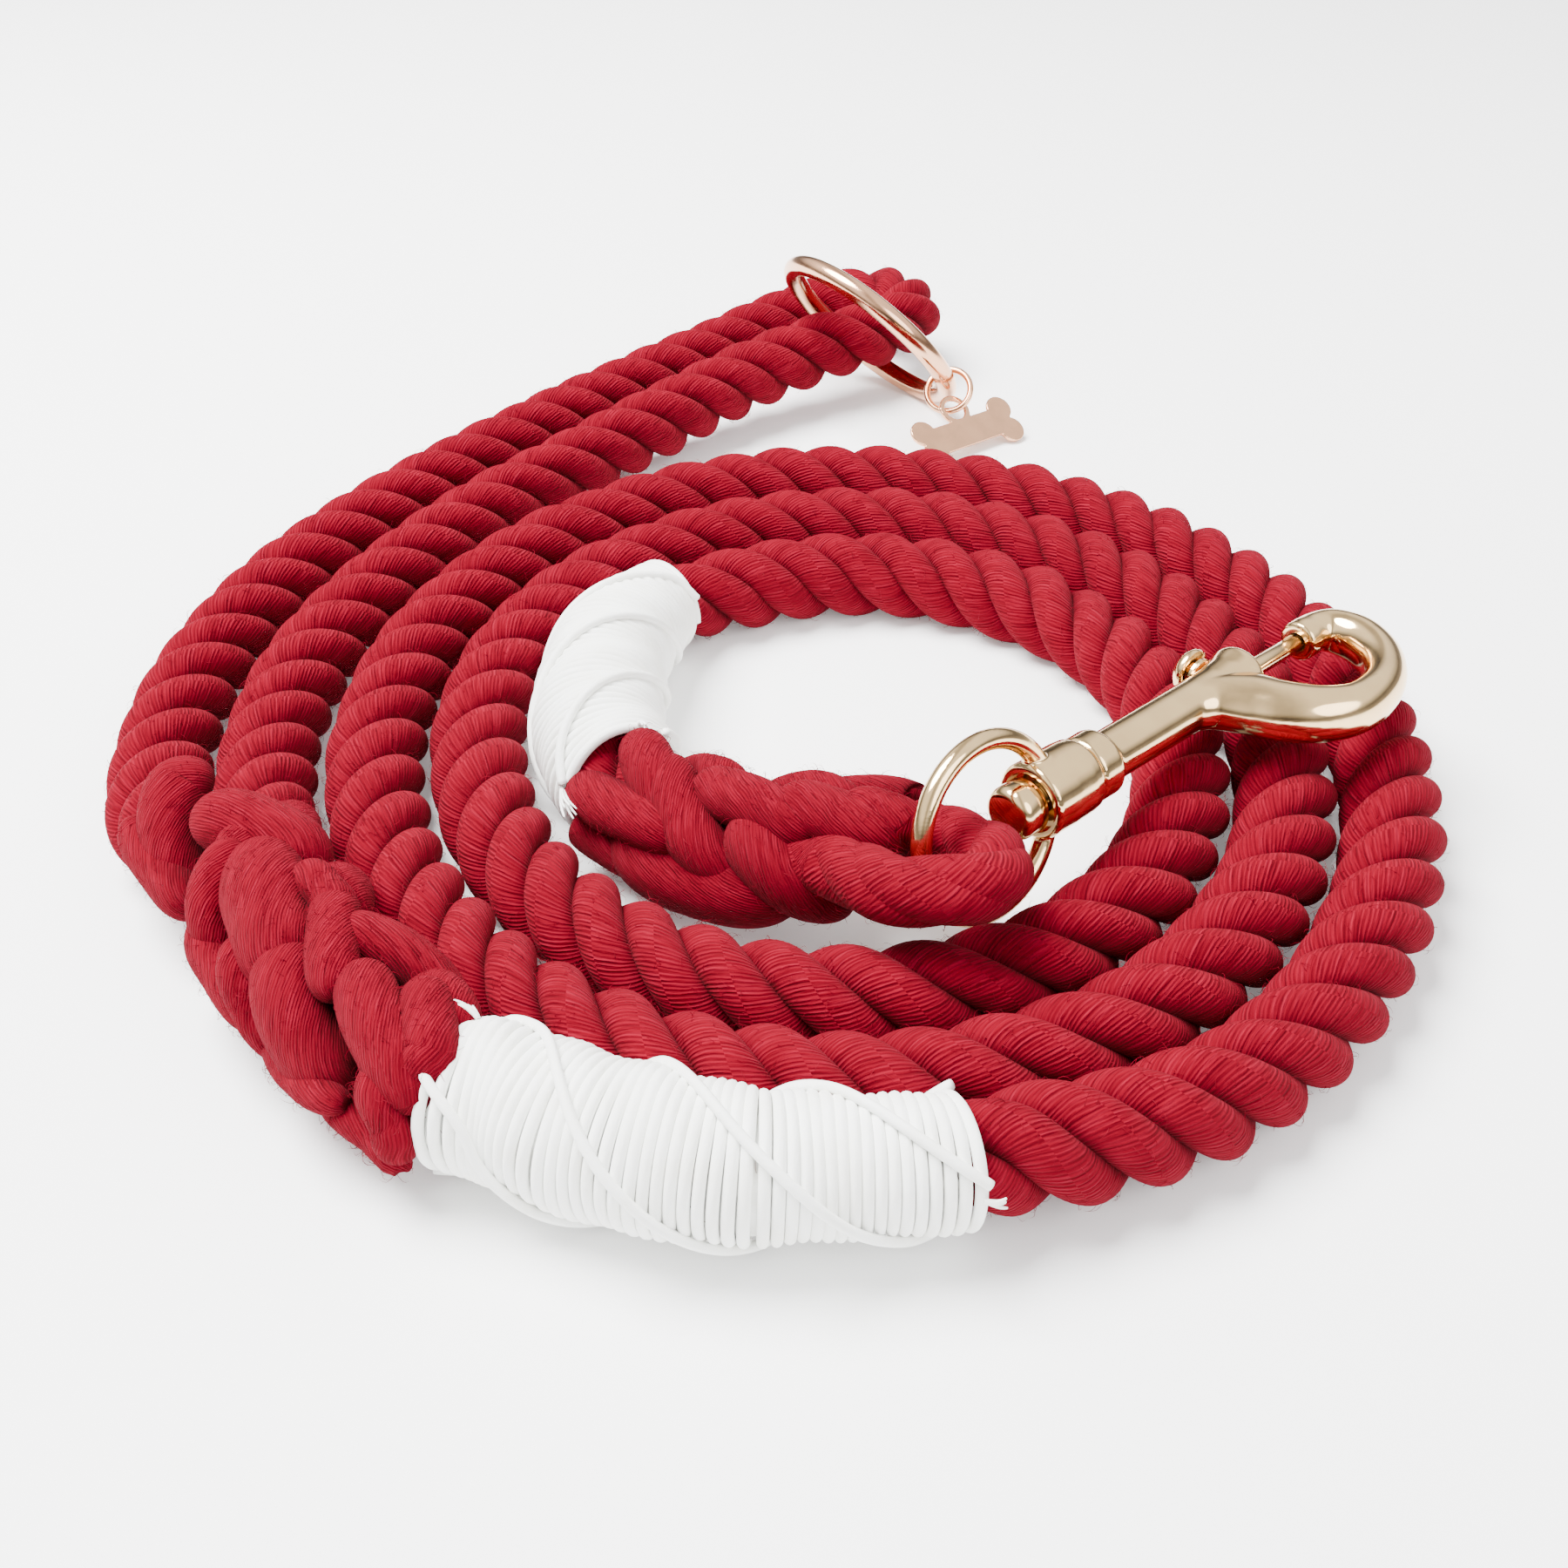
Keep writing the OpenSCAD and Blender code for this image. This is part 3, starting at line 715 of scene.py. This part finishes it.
def outward(made):
    """Turns a closed mesh's faces outwards."""
    work = bmesh.new()
    work.from_mesh(made.data)
    bmesh.ops.recalc_face_normals(work, faces=work.faces)
    work.to_mesh(made.data)
    work.free()
    return made


def fused(name, shells, cutters=(), voxel=0.25, soften=8, crease=38):
    """Closed shells grown together into one softened skin, with the cutters taken out of it."""
    points, faces = [], []
    for part in shells:
        start = len(points)
        points += [tuple(v.co / MM) for v in part.data.vertices]
        faces += [[start + v for v in face.vertices] for face in part.data.polygons]
        bpy.data.objects.remove(part)
    rough = outward(mesh_object(name + "_rough", points, faces))
    grow = rough.modifiers.new("grow", "REMESH")
    grow.mode = "VOXEL"
    grow.voxel_size = voxel * MM
    soft = rough.modifiers.new("soft", "SMOOTH")
    soft.factor = 0.5
    soft.iterations = soften
    for cutter in cutters:
        outward(cutter)
        cut = rough.modifiers.new("cut", "BOOLEAN")
        cut.operation = "DIFFERENCE"
        cut.solver = "EXACT"
        cut.object = cutter
    bpy.context.view_layer.update()
    mesh = bpy.data.meshes.new_from_object(rough.evaluated_get(bpy.context.evaluated_depsgraph_get()))
    mesh.shade_smooth()
    mesh.set_sharp_from_angle(angle=math.radians(crease))
    made = bpy.data.objects.new(name, mesh)
    bpy.context.scene.collection.objects.link(made)
    for part in (rough, *cutters):
        bpy.data.objects.remove(part)
    return made


def lathed(name, profile, axis="x", at=0.0):
    """A turned piece of the snap, with its sharp edges kept."""
    made = outward(shell(name, in_snap(turned(profile, 96, axis, at))))
    made.data.shade_smooth()
    made.data.set_sharp_from_angle(angle=math.radians(38))
    return made


def make_snap():
    """The snap body, bolt, thumb stud, pin and swivel eye, each turned or cast in the snap's own frame."""
    barrel = turned([(11.4, 0), (11.4, 4.0), (11.8, 4.4), (14.9, 4.4), (15.3, 4.1), (15.6, 3.4), (16.2, 3.3),
                     (34, 3.3), (38, 3.4), (41, 3.8), (43, 4.4), (43.8, 4.3), (44, 3.8), (44, 0)])
    hook = swept([(32, 0, 3.1, 3.1), (36, -1.2, 3.9, 3.4), (39.4, -4.6, 4.7, 3.7), (41, -8, 4.3, 3.8),
                  (43.8, -11.8, 3.7, 3.8), (48, -14.3, 3.1, 3.7), (53, -14.5, 2.9, 3.7),
                  (57.6, -13, 2.9, 3.6), (61.4, -9.8, 2.95, 3.5), (63.5, -5.4, 3.0, 3.4),
                  (63, -1.6, 2.9, 3.1), (60.6, -0.1, 2.7, 2.8), (57.4, 0, 2.6, 2.7)])
    tip = turned([(56.7, 0), (56.7, 2.4), (57, 2.75), (58.5, 2.85), (61, 2.7), (62.6, 1.8), (62.8, 0)])
    cutters = [shell("bore", in_snap(turned([(30, 0), (30, BORE_R), (46, BORE_R), (46, 0)]))),
               shell("tip_bore", in_snap(turned([(55, 0), (55, BORE_R), (58.8, BORE_R), (58.8, 0)]))),
               shell("chamber", in_snap(turned([(17, 0), (17, 2.05), (42.2, 2.05), (42.2, 0)])))]
    slot = [(x, y, z) for x in (STUD_X - TRAVEL - 1.1, STUD_X + 1.1) for y in (1, 7) for z in (-1.1, 1.1)]
    box = [(0, 1, 3, 2), (4, 6, 7, 5), (0, 4, 5, 1), (2, 3, 7, 6), (0, 2, 6, 4), (1, 5, 7, 3)]
    cutters.append(mesh_object("slot", in_snap(slot), box))
    shells = [shell("barrel", in_snap(barrel)), shell("hook", in_snap(hook)), shell("tip", in_snap(tip))]
    finish_piece(fused("snap", shells, cutters), PALE_GOLD, "snap", "snap_body")

    rod = [(38.4, 0), (38.4, 1.9), (38.6, 2.04), (41.8, 2.04), (42, 1.9), (42.05, 1.3), (58, 1.3),
           (58.4, 1.0), (58.5, 0)]
    finish_piece(lathed("snap_bolt", rod), PALE_GOLD, "bolt", "bolt")
    cap = [(-0.5, 0), (-0.5, 1), (3.45, 1), (3.5, 2.1), (3.7, 2.3), (4.1, 2.3), (4.3, 2.1), (4.35, 1.3),
           (4.7, 1.35), (4.65, 2.7), (4.8, 3.0), (5.1, 3.1), (5.5, 3.05), (6.1, 2.6), (6.6, 1.9),
           (6.9, 1.0), (7.0, 0)]
    finish_piece(lathed("stud", cap, "y", STUD_X), PALE_GOLD, "bolt", "thumb_stud")
    pin = [(-1.8, 0), (-1.8, 2.5), (-1.5, 3.1), (-0.9, 3.45), (-0.4, 3.5), (1.9, 3.5), (2.2, 3.3),
           (2.25, 2.1), (17, 2.1), (17, 0)]
    finish_piece(lathed("pin", pin), PALE_GOLD, "snap", "swivel_pin")

    tilt = math.radians(EYE_TILT)
    ring = hoop(EYE_RING_R, EYE_WIRE_R)
    ring = np.stack([ring[..., 0] + EYE_X, ring[..., 1] * math.cos(tilt) - ring[..., 2] * math.sin(tilt),
                     ring[..., 1] * math.sin(tilt) + ring[..., 2] * math.cos(tilt)], axis=-1)
    sleeve = turned([(2.4, 0), (2.4, 4.5), (2.8, 4.95), (6.5, 5.0), (9.5, 4.9),
                     (10.9, 4.75), (11.1, 4.5), (11.1, 0)])
    cutters = [shell("sleeve_bore", in_snap(turned([(2, 0), (2, 2.2), (12, 2.2), (12, 0)]))),
               shell("recess", in_snap(turned([(1, 0), (1, 3.9), (3.4, 3.9), (3.4, 0)])))]
    shells = [shell("eye_ring", in_snap(ring), closed=True), shell("sleeve", in_snap(sleeve))]
    eye = fused("eye", shells, cutters, voxel=0.22, soften=6)
    finish_piece(eye, PALE_GOLD, "eye", "swivel_eye")


def faced(points, at, normal):
    """Points about Z turned so that Z is the normal, given as azimuth and elevation, and set at a place."""
    azimuth = Matrix.Rotation(math.radians(normal[0]), 3, "Z")
    lean = Matrix.Rotation(math.radians(90 - normal[1]), 3, "Y")
    return points @ np.array(azimuth @ lean).T + at


def make_rings():
    """The accessory ring, the jump ring and the tag."""
    ring = shell("ring", faced(hoop(RING_R, RING_WIRE_R), RING_AT, RING_NORMAL), closed=True)
    finish_piece(outward(ring), ROSE_GOLD, "ring", "accessory_ring")
    link = shell("link", faced(hoop(JUMP_R, JUMP_WIRE_R, 24, 96), JUMP_AT, JUMP_NORMAL), closed=True)
    finish_piece(outward(link), ROSE_GOLD, "link", "jump_ring")
    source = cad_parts["tag"]
    blank = bpy.data.objects.new("blank", source.data.copy())
    blank.data.transform(source.matrix_world)
    bpy.context.scene.collection.objects.link(blank)
    finish_piece(fused("bone", [blank], voxel=0.14, soften=6), ROSE_GOLD, "tag", "tag")


# ---- floor and light ----
def make_stage():
    """A wide white floor."""
    mesh = bpy.data.meshes.new("floor")
    size = 3.0
    corners = [(-size, -size, 0), (size, -size, 0), (size, size, 0), (-size, size, 0)]
    mesh.from_pydata(corners, [], [(0, 1, 2, 3)])
    floor = bpy.data.objects.new("floor", mesh)
    made, tree, shader = nodes_of("floor")
    shader.inputs["Base Color"].default_value = (0.97, 0.97, 0.97, 1)
    shader.inputs["Roughness"].default_value = 0.9
    shader.inputs["Emission Color"].default_value = (1, 1, 1, 1)
    shader.inputs["Emission Strength"].default_value = 0.2
    mesh.materials.append(made)
    bpy.context.scene.collection.objects.link(floor)


def make_light(name, place, size, power):
    """A round area light aimed at the middle of the leash."""
    data = bpy.data.lights.new(name, "AREA")
    data.shape = "DISK"
    data.size = size
    data.energy = power
    made = bpy.data.objects.new(name, data)
    made.location = place
    made.rotation_euler = (-Vector(place)).to_track_quat("-Z", "Y").to_euler()
    bpy.context.scene.collection.objects.link(made)


def make_lights():
    """A soft white studio: darker towards the horizon and in one upright band, with a key and a fill."""
    world = bpy.data.worlds.new("studio")
    world.use_nodes = True
    tree = world.node_tree
    way = node(tree, "ShaderNodeTexCoord").outputs["Generated"]
    split = node(tree, "ShaderNodeSeparateXYZ")
    tree.links.new(way, split.inputs["Vector"])
    bands = [(0.0, (0.30, 0.30, 0.31)), (0.22, (0.12, 0.12, 0.13)), (0.5, (0.95, 0.95, 0.95)),
             (1.0, (1, 1, 1))]
    sky = ramp(tree, split.outputs["Z"], bands)
    across = node(tree, "ShaderNodeMapRange")
    across.inputs["From Min"].default_value = -1
    tree.links.new(split.outputs["X"], across.inputs["Value"])
    panels = [(0.30, (1.15, 1.15, 1.15)), (0.44, (0.5, 0.49, 0.48)), (0.52, (0.5, 0.49, 0.48)),
              (0.62, (1.1, 1.1, 1.1))]
    sky = blended(tree, 1.0, sky, ramp(tree, across.outputs["Result"], panels), "MULTIPLY")
    tree.links.new(sky, tree.nodes["Background"].inputs["Color"])
    tree.nodes["Background"].inputs["Strength"].default_value = 1.6
    bpy.context.scene.world = world
    make_light("key", (-0.35, 0.05, 0.75), 0.6, 38)
    make_light("fill", (0.5, -0.5, 0.5), 0.6, 5)


make_camera()
rope_line = make_rope()
handle_whip_line = part_of(rope_line, HANDLE_WHIP_ROUTE[0], HANDLE_WHIP_ROUTE[-1])
clip_whip_line = part_of(rope_line, CLIP_WHIP_ROUTE[0], CLIP_WHIP_ROUTE[-1])
make_tucks("handle_strands", "handle_tucks", HANDLE_TUCK_LINE, HANDLE_TUCKS)
make_tucks("clip_strands", "clip_tucks", CLIP_TUCK_LINE, CLIP_TUCKS)
make_whipping("handle_whip_twine", "handle_whipping", handle_whip_line, HANDLE_WHIP_GAPS, 0.3)
make_whipping("clip_whip_twine", "clip_whipping", clip_whip_line, (), 0.7)
make_risers("handle_riser_twine", "handle_risers", handle_whip_line, (0, 120, 240),
            [(0.02, 60, -3.5, 0.4), (0.98, 165, 2.2, 0.25)])
make_risers("clip_riser_twine", "clip_risers", clip_whip_line, (30, 150, 270),
            [(0.99, 170, 7, 0.06), (0.98, 75, 2.5, 0.4)])
make_snap()
make_rings()
for name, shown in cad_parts.items():
    if not shown.hide_render:
        shown.data.materials.clear()
        shown.data.materials.append(PALE_GOLD)
make_stage()
make_lights()
